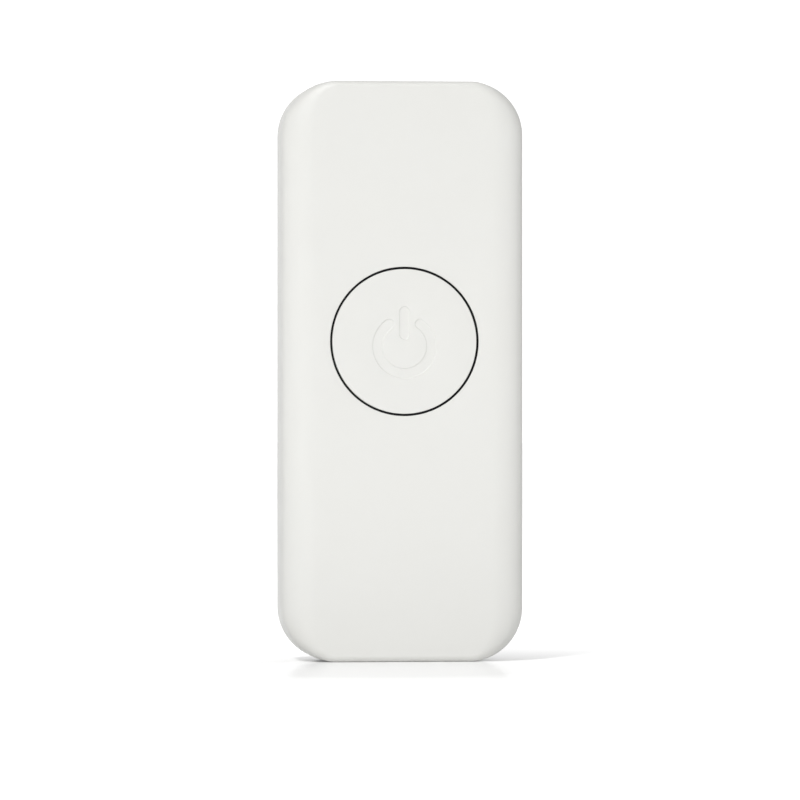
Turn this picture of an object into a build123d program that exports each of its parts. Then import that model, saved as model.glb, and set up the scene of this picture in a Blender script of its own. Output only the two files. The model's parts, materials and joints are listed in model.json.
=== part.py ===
"""Wall battery unit: a white slab, hung on a wall bracket, that stores about 10 kWh in 32 flat cells.

Axes: +X to the right seen from the room, +Z up, and the room lies towards -Y. The wall is the plane Y = 0.
The origin lies on the wall plane, at the centre of the bracket's four bolt holes. Sizes are millimetres.
Distances in depth are measured from the wall, so a piece at a distance d lies at Y = -d.
"""

import os
from math import cos, pi, radians, sin, sqrt

from build123d import *

os.makedirs("parts", exist_ok=True)

# ---------------------------------------------------------------- driving dimensions
WIDTH, HEIGHT, DEPTH = 500.0, 1200.0, 180.0  # the whole unit, with its bracket
CORNER = 110.0  # radius of the outline's corners
WALL = 3.5  # thickness of the cover and the housing
SIDE_ROLL, END_ROLL, ROLL_DROP = 66.0, 13.0, 42.0  # how the front rolls over at the sides and at the ends
BACK = 14.0  # rear face of the housing
RIM = 110.0  # front rim of the housing
SEAL = 2.0  # gap between rim and cover, filled by the gasket
PARTING = RIM + SEAL
RUN_X, RUN_Z = WIDTH / 2 - CORNER, HEIGHT / 2 - CORNER

DISC_Z = 62.0  # centre of the press disc above the origin
HOLE_R, DISC_R = 154.2, 149.5

CELL_L, CELL_D, CELL_T = 200.5, 130.3, 36.7  # one cell, lying on its narrow side
CELLS, PITCH = 16, 38.0  # cells in a column, and their spacing
CELL_BACK = 19.5  # rear face of the cells
CHANNEL = 17.0  # half the width of the channel between the columns
STACK_FOOT = -543.0  # lower end of both columns
END_PLATE = 12.0
SPACER = PITCH - CELL_T
STACK_TOP = STACK_FOOT + CELLS * PITCH + SPACER
CELL_FRONT = CELL_BACK + CELL_D
POLE_OFFSET = 40.0  # terminals, either side of a cell's middle
POLE_OUT = 3.0
BAR = 2.0  # thickness of copper links
STACK_X = 218.0  # half the width of the end plates

SCREW_X, SCREW_Z = 233.0, (-505.0, -170.0, 170.0, 505.0)  # screws that hold the cover
WEB = 15.0  # length of the web that ties each screw's boss to the wall
SEAT = 90.0  # where their heads sit

BOLT_X, BOLT_Z, BOLT_HOLE = 170.0, 350.0, 4.5  # wall bolts, either side of the origin
SHEET = 3.0  # bracket sheet
WINDOW_X, WINDOW_Z = 125.0, 305.0  # half the size of the bracket's window
HOOK_X, HOOK_Z = 90.0, (345.0, -375.0)
HOOK_W, LIP_TOP = 50.0, 18.0

BAY_X, BAY_FOOT, BAY_TOP, BAY_DEPTH = 90.0, 200.0, 330.0, 60.0  # wiring recess in the back
GLAND_X, GLAND_AT, GLAND_R = (-50.0, 0.0, 50.0), 37.0, 12.5
CABLE_R = 6.0

KNOB_Z, KNOB_AT = 420.0, 62.0  # isolator axis: height, and distance from the wall
POCKET_R, POCKET_FLOOR = 32.0, 226.5

TRAY, TRAY_Z = 68.0, 216.0  # rear face and middle of the electronics tray
TRAY_T = 1.5
TRAY_FRONT = TRAY + TRAY_T


def from_wall(distance):
    """The plane parallel to the wall at that distance, seen from the room: its own axes are X and Z."""
    return Plane.XZ.offset(distance)


def inset(depth, reach, drop):
    """How far an elliptical roll stands in from the outline, at a depth behind the front face."""
    if depth >= drop:
        return 0.0
    return reach * (1 - sqrt(1 - ((drop - depth) / drop) ** 2))


def slab_face(distance, side, end):
    """The unit's outline at a distance from the wall, drawn in at the sides and at the ends."""
    corners = ((1, 1, 0), (-1, 1, 90), (-1, -1, 180), (1, -1, 270))
    with BuildSketch(from_wall(distance)) as outline:
        with BuildLine():
            arcs = [
                EllipticalCenterArc((sx * RUN_X, sz * RUN_Z), CORNER - side, CORNER - end, start, arc_size=90)
                for sx, sz, start in corners
            ]
            for arc, following in zip(arcs, arcs[1:] + arcs[:1]):
                Line(arc @ 1, following @ 0)
        make_face()
    return outline.sketch.face()


def front_form(skin, steps=12):
    """The front half of the slab as a solid, drawn in by a skin thickness all over."""
    drop = ROLL_DROP - skin
    sections = []
    for step in range(steps + 1):
        depth = drop * (1 - cos(pi / 2 * step / steps))
        side = skin + inset(depth, SIDE_ROLL - skin, drop)
        end = skin + inset(depth, END_ROLL - skin, END_ROLL - skin)
        sections.append(slab_face(DEPTH - skin - depth, side, end))
    with BuildPart() as form:
        loft(sections)
        extrude(slab_face(PARTING, skin, skin), amount=DEPTH - ROLL_DROP - PARTING)
    return form.part


def write(piece, name):
    """Labels a finished piece and writes it as a node."""
    piece.part.label = name
    export_step(piece.part, f"parts/{name}.step")


# ---------------------------------------------------------------- casing
def rim_ring(distance, outer, inner, thickness):
    """A ring that follows the outline, between two insets."""
    with BuildPart() as ring:
        extrude(slab_face(distance, outer, outer), amount=thickness)
        extrude(slab_face(distance, inner, inner), amount=thickness, mode=Mode.SUBTRACT)
    return ring.part


COVER_SCREWS = [(side * SCREW_X, z) for side in (-1, 1) for z in SCREW_Z]
COVER_WEBS = [(side * (SCREW_X + WEB / 2), z) for side in (-1, 1) for z in SCREW_Z]
WELL_SCREW_R, WELL_SCREWS = 172.0, 6
WELL_BACK, WELL_FLOOR, WELL_R = 157.0, 159.5, 180.0
LIP_DEPTH, LIP_GAP, LIP_T = 8.0, 0.4, 2.0
BOSS_R, INSERT_R = 6.0, 3.8

with BuildPart() as front_cover:
    add(front_form(0.0))
    add(front_form(WALL), mode=Mode.SUBTRACT)
    # locating lip inside the housing's rim
    add(rim_ring(PARTING, WALL - 0.5, WALL + LIP_GAP + LIP_T, LIP_DEPTH))
    add(rim_ring(PARTING - LIP_DEPTH, WALL + LIP_GAP, WALL + LIP_GAP + LIP_T, LIP_DEPTH))
    # bosses for the cover screws, each on a web
    with BuildSketch(from_wall(PARTING)):
        with Locations(*COVER_SCREWS):
            Circle(BOSS_R)
        with Locations(*COVER_WEBS):
            Rectangle(WEB, 4.0)
    extrude(amount=30.0)
    with BuildSketch(from_wall(PARTING)):
        with Locations(*COVER_SCREWS):
            Circle(INSERT_R)
    extrude(amount=20.0, mode=Mode.SUBTRACT)
    # bosses that carry the well of the disc
    with BuildSketch(from_wall(WELL_FLOOR)):
        with Locations((0, DISC_Z)):
            with PolarLocations(WELL_SCREW_R, WELL_SCREWS):
                Circle(5.0)
                Circle(1.8, mode=Mode.SUBTRACT)
    extrude(amount=DEPTH - WALL - WELL_FLOOR + 0.5)
    # round hole for the disc
    with BuildSketch(from_wall(DEPTH + 1)):
        with Locations((0, DISC_Z)):
            Circle(HOLE_R)
    extrude(amount=-WALL - 2, mode=Mode.SUBTRACT)
    hole_edge = front_cover.edges().filter_by(GeomType.CIRCLE).filter_by(
        lambda edge: abs(edge.radius - HOLE_R) < 0.01
    )
    fillet(hole_edge.sort_by(Axis.Y)[0], 1.2)
write(front_cover, "front_cover")

with BuildPart() as housing_gasket:
    add(rim_ring(RIM, 0.9, WALL, SEAL))
write(housing_gasket, "housing_gasket")

POST_XZ = [(side * 200.0, z) for side in (-1, 1) for z in (108.0, 215.0, 325.0)]
POST_SHANK_R = 2.1
MODULE_SCREW_X, MODULE_SCREW_R = (-190.0, -40.0, 40.0, 190.0), 3.0
MODULE_SCREW_Z = (STACK_FOOT - END_PLATE / 2, STACK_TOP + END_PLATE / 2)
MODULE_SCREWS = [(x, z) for x in MODULE_SCREW_X for z in MODULE_SCREW_Z]
VENT_XZ, VENT_R = (-150.0, 455.0), 8.0
EARTH_XZ, EARTH_R, EARTH_NECK_R = (BAY_X - 20.0, BAY_FOOT + 25.0), 3.0, 4.2
SMALL_SCREW_R = 2.0
PLATE_SCREWS = [(x, z) for x in (-160.0, 120.0) for z in (378.0, 522.0)]
ISO_FOOT_X = 186.0
ISO_SCREWS = [(ISO_FOOT_X, KNOB_Z + dz) for dz in (-39.0, 39.0)]
FLOOR_SCREWS = PLATE_SCREWS + ISO_SCREWS
HANGER_RIVETS = [
    (side * HOOK_X + dx, z + LIP_TOP + dz)
    for side in (-1, 1)
    for z in HOOK_Z
    for dx in (-18.0, 18.0)
    for dz in (12.0, 30.0)
]
RIVET_R = 2.5

with BuildPart() as rear_housing:
    extrude(slab_face(BACK, 0, 0), amount=RIM - BACK)
    fillet(rear_housing.faces().sort_by(Axis.Y)[-1].edges(), 6.0)
    extrude(slab_face(BACK + WALL, WALL, WALL), amount=RIM, mode=Mode.SUBTRACT)
    # tubes for the cover screws
    with BuildSketch(from_wall(BACK + 1)):
        with Locations(*COVER_SCREWS):
            Circle(BOSS_R + 1.5)
        with Locations(*COVER_WEBS):
            Rectangle(WEB, 5.0)
    extrude(amount=RIM - LIP_DEPTH - 2 - BACK - 1)
    with BuildSketch(from_wall(BACK)):
        with Locations(*COVER_SCREWS):
            Circle(5.2)
    extrude(amount=SEAT - BACK, mode=Mode.SUBTRACT)
    with BuildSketch(from_wall(SEAT)):
        with Locations(*COVER_SCREWS):
            Circle(2.8)
    extrude(amount=RIM - SEAT, mode=Mode.SUBTRACT)
    # wiring recess, with holes for the glands in its upper wall
    with BuildSketch(from_wall(BACK + 1)):
        with Locations((0, (BAY_FOOT + BAY_TOP) / 2)):
            RectangleRounded(2 * (BAY_X + WALL), BAY_TOP - BAY_FOOT + 2 * WALL, 8.0)
    extrude(amount=BAY_DEPTH + WALL - BACK - 1)
    with BuildSketch(from_wall(BACK)):
        with Locations((0, (BAY_FOOT + BAY_TOP) / 2)):
            RectangleRounded(2 * BAY_X, BAY_TOP - BAY_FOOT, 5.0)
    extrude(amount=BAY_DEPTH - BACK, mode=Mode.SUBTRACT)
    with BuildSketch(Plane.XY.offset(BAY_TOP - 1)):
        with Locations(*[(x, -GLAND_AT) for x in GLAND_X]):
            Circle(GLAND_R)
    extrude(amount=WALL + 2, mode=Mode.SUBTRACT)
    # round pocket for the isolator knob, in the right side
    with BuildSketch(Plane.YZ.offset(POCKET_FLOOR - WALL)):
        with Locations((-KNOB_AT, KNOB_Z)):
            Circle(POCKET_R + WALL)
    extrude(amount=WIDTH / 2 - WALL / 2 - POCKET_FLOOR + WALL)
    with BuildSketch(Plane.YZ.offset(POCKET_FLOOR)):
        with Locations((-KNOB_AT, KNOB_Z)):
            Circle(POCKET_R)
    extrude(amount=WIDTH / 2 - POCKET_FLOOR + 1, mode=Mode.SUBTRACT)
    with BuildSketch(Plane.YZ.offset(POCKET_FLOOR - WALL)):
        with Locations((-KNOB_AT, KNOB_Z)):
            Circle(5.0)
    extrude(amount=WALL, mode=Mode.SUBTRACT)
    # holes through the back: module screws, hanger rivets, pressure vent and earth stud
    with BuildSketch(from_wall(BACK)):
        with Locations(*MODULE_SCREWS):
            Circle(MODULE_SCREW_R)
        with Locations(*HANGER_RIVETS):
            Circle(RIVET_R)
        with Locations(VENT_XZ):
            Circle(VENT_R)
        with Locations(*POST_XZ):
            Circle(POST_SHANK_R)
    extrude(amount=WALL, mode=Mode.SUBTRACT)
    with BuildSketch(from_wall(BACK + WALL)):
        with Locations(*FLOOR_SCREWS):
            Circle(SMALL_SCREW_R)
    extrude(amount=-3.0, mode=Mode.SUBTRACT)
    with BuildSketch(from_wall(BAY_DEPTH)):
        with Locations(EARTH_XZ):
            Circle(EARTH_NECK_R)
    extrude(amount=WALL, mode=Mode.SUBTRACT)
write(rear_housing, "rear_housing")

with BuildPart() as cover_screws:
    for head_r, start, length in ((4.6, SEAT - 5.0, 5.0), (2.5, SEAT, 40.0)):
        with BuildSketch(from_wall(start)):
            with Locations(*COVER_SCREWS):
                Circle(head_r)
        extrude(amount=length)
    with BuildSketch(from_wall(SEAT - 5.0)):
        with Locations(*COVER_SCREWS):
            RegularPolygon(2.3, 6)
    extrude(amount=3.0, mode=Mode.SUBTRACT)
write(cover_screws, "cover_screws")

with BuildPart() as cover_inserts:
    with BuildSketch(from_wall(PARTING)):
        with Locations(*COVER_SCREWS):
            Circle(INSERT_R)
            Circle(2.55, mode=Mode.SUBTRACT)
    extrude(amount=12.0)
write(cover_inserts, "cover_inserts")

with BuildPart() as pressure_vent:
    with BuildSketch(from_wall(BACK - 4.0)):
        with Locations(VENT_XZ):
            Circle(12.0)
    extrude(amount=4.0)
    with BuildSketch(from_wall(BACK)):
        with Locations(VENT_XZ):
            Circle(VENT_R)
    extrude(amount=12.0)
    chamfer(pressure_vent.faces().sort_by(Axis.Y)[-1].edges(), 1.0)
    with BuildSketch(from_wall(BACK - 4.0)):
        with Locations(VENT_XZ):
            with PolarLocations(6.0, 6):
                Circle(1.6)
    extrude(amount=2.0, mode=Mode.SUBTRACT)
write(pressure_vent, "pressure_vent")

# ---------------------------------------------------------------- press disc
GUIDE_R, GUIDES = 100.0, 3
LINK_R, LINKS = 120.0, 6
SKIN_BACK = DEPTH - WALL
CARRIER_BACK, CARRIER_T, CARRIER_R = 168.5, 2.5, 138.0
CARRIER_FRONT = CARRIER_BACK + CARRIER_T
SKIRT_BACK, SKIRT_T = 169.5, 2.5
SLEEVE_R, SLEEVE = 8.0, 5.0  # sleeves that slide on the guide pins
PIN_R = 4.0
MARK_R, MARK_W, MARK_DEPTH = 56.0, 20.0, 1.5
MARK_Z = DISC_Z - 10.0
MARK_BAR, MARK_BAR_UP = 68.0, 48.0  # length of the bar, and its middle above the ring's centre
MARK_GAP = 70.0  # degrees left open at the top of the mark's ring


def around_mark(radius, angle, along=0.0):
    """A point at a radius and an angle round the mark, moved on along the tangent."""
    turn = radians(angle)
    return (radius * cos(turn) - along * sin(turn), MARK_Z + radius * sin(turn) + along * cos(turn))


with BuildPart() as press_disc:
    with BuildSketch(from_wall(SKIN_BACK)):
        with Locations((0, DISC_Z)):
            Circle(DISC_R)
    extrude(amount=WALL)
    fillet(press_disc.faces().sort_by(Axis.Y)[0].edges(), 1.6)
    with BuildSketch(from_wall(SKIRT_BACK)):
        with Locations((0, DISC_Z)):
            Circle(DISC_R)
            Circle(DISC_R - SKIRT_T, mode=Mode.SUBTRACT)
    extrude(amount=SKIN_BACK - SKIRT_BACK)
    with BuildSketch(from_wall(CARRIER_FRONT)):
        with Locations((0, DISC_Z)):
            with PolarLocations(LINK_R, LINKS):
                Circle(5.0)
                Circle(1.3, mode=Mode.SUBTRACT)
    extrude(amount=SKIN_BACK - CARRIER_FRONT)
    # a sunk power mark: an open ring and a bar
    with BuildSketch(from_wall(DEPTH)):
        first, swept = 90 + MARK_GAP / 2, 360 - MARK_GAP
        with BuildLine():
            outer = CenterArc((0, MARK_Z), MARK_R + MARK_W / 2, first, swept)
            inner = CenterArc((0, MARK_Z), MARK_R - MARK_W / 2, first, swept)
            ThreePointArc(inner @ 0, around_mark(MARK_R, first, -MARK_W / 2), outer @ 0)
            ThreePointArc(outer @ 1, around_mark(MARK_R, first + swept, MARK_W / 2), inner @ 1)
        make_face()
        with Locations((0, MARK_Z + MARK_BAR_UP)):
            SlotOverall(MARK_BAR, MARK_W, rotation=90)
    extrude(amount=-MARK_DEPTH, mode=Mode.SUBTRACT)
write(press_disc, "press_disc")

with BuildPart() as disc_carrier:
    with BuildSketch(from_wall(CARRIER_BACK)):
        with Locations((0, DISC_Z)):
            Circle(CARRIER_R)
            with PolarLocations(60.0, 6):
                Circle(18.0, mode=Mode.SUBTRACT)
    extrude(amount=CARRIER_T)
    with BuildSketch(from_wall(CARRIER_BACK - SLEEVE)):
        with Locations((0, DISC_Z)):
            with PolarLocations(GUIDE_R, GUIDES, start_angle=90):
                Circle(SLEEVE_R)
    extrude(amount=SLEEVE)
    with BuildSketch(from_wall(CARRIER_BACK - SLEEVE)):
        with Locations((0, DISC_Z)):
            with PolarLocations(GUIDE_R, GUIDES, start_angle=90):
                Circle(PIN_R + 0.05)
    extrude(amount=CARRIER_T + SLEEVE, mode=Mode.SUBTRACT)
    with BuildSketch(from_wall(CARRIER_BACK)):
        with Locations((0, DISC_Z)):
            with PolarLocations(LINK_R, LINKS):
                Circle(1.7)
    extrude(amount=CARRIER_T, mode=Mode.SUBTRACT)
write(disc_carrier, "disc_carrier")

with BuildPart() as disc_screws:
    with BuildSketch(from_wall(CARRIER_BACK - 2.0)):
        with Locations((0, DISC_Z)):
            with PolarLocations(LINK_R, LINKS):
                Circle(3.0)
    extrude(amount=2.0)
    with BuildSketch(from_wall(CARRIER_BACK)):
        with Locations((0, DISC_Z)):
            with PolarLocations(LINK_R, LINKS):
                Circle(1.25)
    extrude(amount=CARRIER_T + 4.5)
write(disc_screws, "disc_screws")

with BuildPart() as disc_well:
    with BuildSketch(from_wall(WELL_BACK)):
        with Locations((0, DISC_Z)):
            Circle(WELL_R)
            with PolarLocations(WELL_SCREW_R, WELL_SCREWS):
                Circle(2.1, mode=Mode.SUBTRACT)
            with PolarLocations(GUIDE_R, GUIDES, start_angle=90):
                Circle(PIN_R, mode=Mode.SUBTRACT)
            with PolarLocations(55.0, 5):
                Circle(16.0, mode=Mode.SUBTRACT)
    extrude(amount=WELL_FLOOR - WELL_BACK)
    with BuildSketch(from_wall(WELL_FLOOR)):
        with Locations((0, DISC_Z)):
            Circle(HOLE_R + 4.0)
            Circle(HOLE_R + 1.0, mode=Mode.SUBTRACT)
    extrude(amount=SKIN_BACK - WELL_FLOOR)
write(disc_well, "disc_well")

with BuildPart() as well_screws:
    for radius, start, length in ((3.6, WELL_BACK - 2.2, 2.2), (1.75, WELL_BACK, 14.0)):
        with BuildSketch(from_wall(start)):
            with Locations((0, DISC_Z)):
                with PolarLocations(WELL_SCREW_R, WELL_SCREWS):
                    Circle(radius)
        extrude(amount=length)
write(well_screws, "well_screws")

with BuildPart() as guide_pins:
    for radius, start, end in ((PIN_R, WELL_BACK, CARRIER_FRONT), (7.0, CARRIER_FRONT, CARRIER_FRONT + 2.0)):
        with BuildSketch(from_wall(start)):
            with Locations((0, DISC_Z)):
                with PolarLocations(GUIDE_R, GUIDES, start_angle=90):
                    Circle(radius)
        extrude(amount=end - start)
write(guide_pins, "guide_pins")

SPRING_R, SPRING_WIRE = 11.0, 1.5
with BuildPart() as disc_springs:
    for place in PolarLocations(GUIDE_R, GUIDES, start_angle=90):
        centre = Vector(place.position.X, -WELL_FLOOR - SPRING_WIRE / 2, DISC_Z + place.position.Y)
        with BuildLine() as coil:
            Helix(2.5, 7.5, SPRING_R, center=centre, direction=(0, -1, 0))
        with BuildSketch(Plane(coil.line @ 0, z_dir=coil.line % 0)):
            Circle(SPRING_WIRE / 2)
        sweep(path=coil.line)
write(disc_springs, "disc_springs")

SWITCH_TOP = 164.5
with BuildPart() as wake_switch:
    with BuildSketch(from_wall(WELL_FLOOR)):
        with Locations((0, DISC_Z)):
            RectangleRounded(16.0, 16.0, 1.0)
            Circle(2.75, mode=Mode.SUBTRACT)
    extrude(amount=SWITCH_TOP - WELL_FLOOR)
write(wake_switch, "wake_switch")

with BuildPart() as switch_plunger:
    with BuildSketch(from_wall(WELL_FLOOR + 3.4)):
        with Locations((0, DISC_Z)):
            Circle(2.7)
    extrude(amount=CARRIER_BACK - 0.1 - WELL_FLOOR - 3.4)
    fillet(switch_plunger.faces().sort_by(Axis.Y)[0].edges(), 0.6)
write(switch_plunger, "switch_plunger")

LED_TOP, LED_CIRCLE, LEDS = WELL_FLOOR + 1.5, 142.0, 24
with BuildPart() as led_board:
    with BuildSketch(from_wall(WELL_FLOOR)):
        with Locations((0, DISC_Z)):
            Circle(HOLE_R + 0.9)
            Circle(134.0, mode=Mode.SUBTRACT)
    extrude(amount=LED_TOP - WELL_FLOOR)
write(led_board, "led_board")

with BuildPart() as status_leds:
    with BuildSketch(from_wall(LED_TOP)):
        with Locations((0, DISC_Z)):
            with PolarLocations(LED_CIRCLE, LEDS):
                Rectangle(3.2, 2.8)
    extrude(amount=1.0)
write(status_leds, "status_leds")

with BuildPart() as light_ring:
    with BuildSketch(from_wall(LED_TOP)):
        with Locations((0, DISC_Z)):
            Circle(HOLE_R + 0.9)
            Circle(146.0, mode=Mode.SUBTRACT)
    extrude(amount=4.0)
    fillet(light_ring.faces().sort_by(Axis.Y)[0].edges(), 0.8)
write(light_ring, "light_ring")

# ---------------------------------------------------------------- cell module
COLUMNS = {"left": -1, "right": 1}
CELL_MID = CELL_BACK + CELL_D / 2
CELL_FEET = [STACK_FOOT + SPACER + k * PITCH for k in range(CELLS)]
POLE_X = CHANNEL - POLE_OUT

for column, side in COLUMNS.items():
    with BuildPart() as cells:
        for foot in CELL_FEET:
            with BuildSketch(Plane.YZ.offset(side * CHANNEL)):
                with Locations((-CELL_MID, foot + CELL_T / 2)):
                    RectangleRounded(CELL_D, CELL_T, 2.5)
            extrude(amount=side * CELL_L)
    write(cells, f"cells_{column}")

with BuildPart() as cell_poles:
    for side in COLUMNS.values():
        with BuildSketch(Plane.YZ.offset(side * POLE_X)):
            with Locations((-CELL_MID, CELL_FEET[0] + (CELL_T + (CELLS - 1) * PITCH) / 2)):
                with GridLocations(2 * POLE_OFFSET, PITCH, 2, CELLS):
                    RectangleRounded(22.0, 14.0, 2.0)
        extrude(amount=side * POLE_OUT)
write(cell_poles, "cell_poles")

with BuildPart() as cell_links:
    for side in COLUMNS.values():
        for k in range(CELLS - 1):
            across = -POLE_OFFSET if k % 2 else POLE_OFFSET
            middle = CELL_FEET[k] + CELL_T / 2 + PITCH / 2
            with BuildSketch(Plane.YZ.offset(side * POLE_X)):
                with Locations((-CELL_MID + across, middle)):
                    RectangleRounded(20.0, PITCH + 12.0, 3.0)
            extrude(amount=-side * BAR)
    # the link that joins the two columns at the bottom
    first = CELL_FEET[0] + CELL_T / 2
    for middle, tall, hollow in ((first, 14.0, 2 * (POLE_X - BAR)), (first + 6.0, BAR, 0.0)):
        with BuildSketch(Plane.XY.offset(middle - tall / 2)):
            with Locations((0, -CELL_MID - POLE_OFFSET)):
                Rectangle(2 * POLE_X, 20.0)
                if hollow:
                    Rectangle(hollow, 20.0, mode=Mode.SUBTRACT)
        extrude(amount=tall)
write(cell_links, "cell_links")

with BuildPart() as cell_spacers:
    for side in COLUMNS.values():
        for k in range(CELLS + 1):
            with BuildSketch(Plane.XY.offset(STACK_FOOT + k * PITCH)):
                with Locations((side * (CHANNEL + CELL_L / 2), -CELL_MID)):
                    Rectangle(CELL_L - 6, CELL_D - 6)
            extrude(amount=SPACER)
write(cell_spacers, "cell_spacers")

END_FEET = (STACK_FOOT - END_PLATE, STACK_TOP)
GROOVE = 3.0
BOARD_AT, BOARD_DEEP, SENSE_T = CELL_MID - 16.0, 48.0, 1.2
with BuildPart() as end_plates:
    for foot in END_FEET:
        with BuildSketch(Plane.XY.offset(foot)):
            with Locations((0, -CELL_MID)):
                RectangleRounded(2 * STACK_X, CELL_D, 4.0)
            # pads that stand on the housing's back
            with Locations(*[(x, -(BACK + WALL + CELL_BACK) / 2) for x in MODULE_SCREW_X]):
                Rectangle(20.0, CELL_BACK - BACK - WALL)
            if foot == STACK_TOP:
                with Locations((0, -CELL_FRONT + 27.0)):
                    Rectangle(40.0, 56.0, mode=Mode.SUBTRACT)
        extrude(amount=END_PLATE)
        with BuildSketch(from_wall(BACK + WALL)):
            with Locations(*[(x, foot + END_PLATE / 2) for x in MODULE_SCREW_X]):
                Circle(MODULE_SCREW_R)
        extrude(amount=26.0, mode=Mode.SUBTRACT)
        with BuildSketch(from_wall(CELL_FRONT)):
            with Locations(*[(x, foot + END_PLATE / 2) for x in MODULE_SCREW_X]):
                Circle(SMALL_SCREW_R)
        extrude(amount=-12.0, mode=Mode.SUBTRACT)
    # grooves that hold the sense board
    for edge in (STACK_FOOT - GROOVE, STACK_TOP):
        with BuildSketch(Plane.XY.offset(edge)):
            with Locations((0, -BOARD_AT)):
                Rectangle(SENSE_T, BOARD_DEEP)
        extrude(amount=GROOVE, mode=Mode.SUBTRACT)
write(end_plates, "end_plates")

STRAP_T, STRAP_X = 0.8, (75.0, 150.0)
with BuildPart() as tie_straps:
    for x in (-STRAP_X[1], -STRAP_X[0], STRAP_X[0], STRAP_X[1]):
        with BuildSketch(Plane.YZ.offset(x - 12)):
            with Locations((-CELL_MID, (STACK_FOOT + STACK_TOP) / 2)):
                span = STACK_TOP - STACK_FOOT + 2 * END_PLATE
                RectangleRounded(CELL_D + 2 * STRAP_T, span + 2 * STRAP_T, STRAP_T - 0.01)
                Rectangle(CELL_D, span, mode=Mode.SUBTRACT)
        extrude(amount=24.0)
write(tie_straps, "tie_straps")

with BuildPart() as module_screws:
    for radius, start, length in ((5.0, BACK - 3.5, 3.5), (MODULE_SCREW_R, BACK, 27.0)):
        with BuildSketch(from_wall(start)):
            with Locations(*MODULE_SCREWS):
                Circle(radius)
        extrude(amount=length)
    with BuildSketch(from_wall(BACK - 3.5)):
        with Locations(*MODULE_SCREWS):
            RegularPolygon(2.9, 6)
    extrude(amount=2.2, mode=Mode.SUBTRACT)
write(module_screws, "module_screws")

with BuildPart() as insulation_mat:
    with BuildSketch(from_wall(BACK + WALL)):
        with Locations((0, (STACK_FOOT + STACK_TOP) / 2)):
            Rectangle(430.0, STACK_TOP - STACK_FOOT - 10)
    extrude(amount=CELL_BACK - STRAP_T - BACK - WALL)
write(insulation_mat, "insulation_mat")

MODULE_FRONT, LID_T = CELL_FRONT + STRAP_T, 1.5
with BuildPart() as module_cover:
    with BuildSketch(from_wall(MODULE_FRONT)):
        with Locations((0, (STACK_FOOT + STACK_TOP) / 2)):
            RectangleRounded(2 * STACK_X - 6, STACK_TOP - STACK_FOOT + 2 * END_PLATE - 2, 8.0)
        with Locations(*MODULE_SCREWS):
            Circle(SMALL_SCREW_R, mode=Mode.SUBTRACT)
        with Locations((0, STACK_TOP)):
            Rectangle(44.0, 40.0, mode=Mode.SUBTRACT)
    extrude(amount=LID_T)
write(module_cover, "module_cover")

with BuildPart() as sense_board:
    with BuildSketch(Plane.YZ.offset(-SENSE_T / 2)):
        with Locations((-BOARD_AT, (STACK_FOOT + STACK_TOP) / 2)):
            Rectangle(BOARD_DEEP, STACK_TOP - STACK_FOOT + 2 * GROOVE)
    extrude(amount=SENSE_T)
write(sense_board, "sense_board")

# copper that leads from the topmost cells to the fuse and the shunt
POLE_AT = CELL_MID + POLE_OFFSET
SHELF_Z, FUSE_TALL = 125.0, 120.0
FUSE_X, FUSE_AT = 40.0, 105.0
with BuildPart() as main_straps:
    foot = CELL_FEET[-1] + CELL_T / 2 - 7
    for side in COLUMNS.values():
        with BuildSketch(Plane.YZ.offset(side * POLE_X)):
            with Locations((-POLE_AT, (foot + SHELF_Z) / 2)):
                Rectangle(20.0, SHELF_Z - foot)
        extrude(amount=-side * BAR)
        with BuildSketch(Plane.XY.offset(SHELF_Z)):
            with Locations((side * (POLE_X - BAR + FUSE_X + 12) / 2, -(FUSE_AT + POLE_AT) / 2)):
                Rectangle(FUSE_X + 12 - POLE_X + BAR, POLE_AT - FUSE_AT + 20)
        extrude(amount=-BAR)
    # the block between the fuse and the contactor
    with BuildSketch(Plane.XY.offset(SHELF_Z + FUSE_TALL)):
        with Locations((FUSE_X, -FUSE_AT)):
            Rectangle(12.0, 16.0)
    extrude(amount=12.0)
write(main_straps, "main_straps")

# ---------------------------------------------------------------- electronics
with BuildPart() as tray_posts:
    with BuildSketch(from_wall(BACK + WALL)):
        with Locations(*POST_XZ):
            RegularPolygon(5.0, 6)
    extrude(amount=TRAY - BACK - WALL)
    with BuildSketch(from_wall(BACK)):
        with Locations(*POST_XZ):
            Circle(POST_SHANK_R)
    extrude(amount=WALL)
    with BuildSketch(from_wall(TRAY)):
        with Locations(*POST_XZ):
            Circle(SMALL_SCREW_R)
    extrude(amount=-12.0, mode=Mode.SUBTRACT)
write(tray_posts, "tray_posts")

with BuildPart() as electronics_tray:
    with BuildSketch(from_wall(TRAY)):
        with Locations((0, TRAY_Z)):
            RectangleRounded(424.0, 236.0, 6.0)
        with Locations(*POST_XZ):
            Circle(SMALL_SCREW_R, mode=Mode.SUBTRACT)
        with Locations(*[(x, TRAY_Z) for x in (-8.0, 8.0)]):
            SlotOverall(120.0, 8.0, rotation=90, mode=Mode.SUBTRACT)
    extrude(amount=TRAY_T)
write(electronics_tray, "electronics_tray")

PLATE_T, FLANGE_T = 2.0, 4.0
RAIL_BACK = BACK + WALL + PLATE_T
ISO_SEAT = BACK + WALL + FLANGE_T
INNER_SCREWS = (
    (POST_XZ, TRAY_FRONT, 9.5),
    (PLATE_SCREWS, RAIL_BACK, 5.0),
    (ISO_SCREWS, ISO_SEAT, 7.0),
    (MODULE_SCREWS, MODULE_FRONT + LID_T, 10.0),
)
with BuildPart() as inner_screws:
    for places, seat, shank in INNER_SCREWS:
        for radius, length in ((4.0, 2.4), (SMALL_SCREW_R, -shank)):
            with BuildSketch(from_wall(seat)):
                with Locations(*places):
                    Circle(radius)
            extrude(amount=length)
write(inner_screws, "inner_screws")

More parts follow.
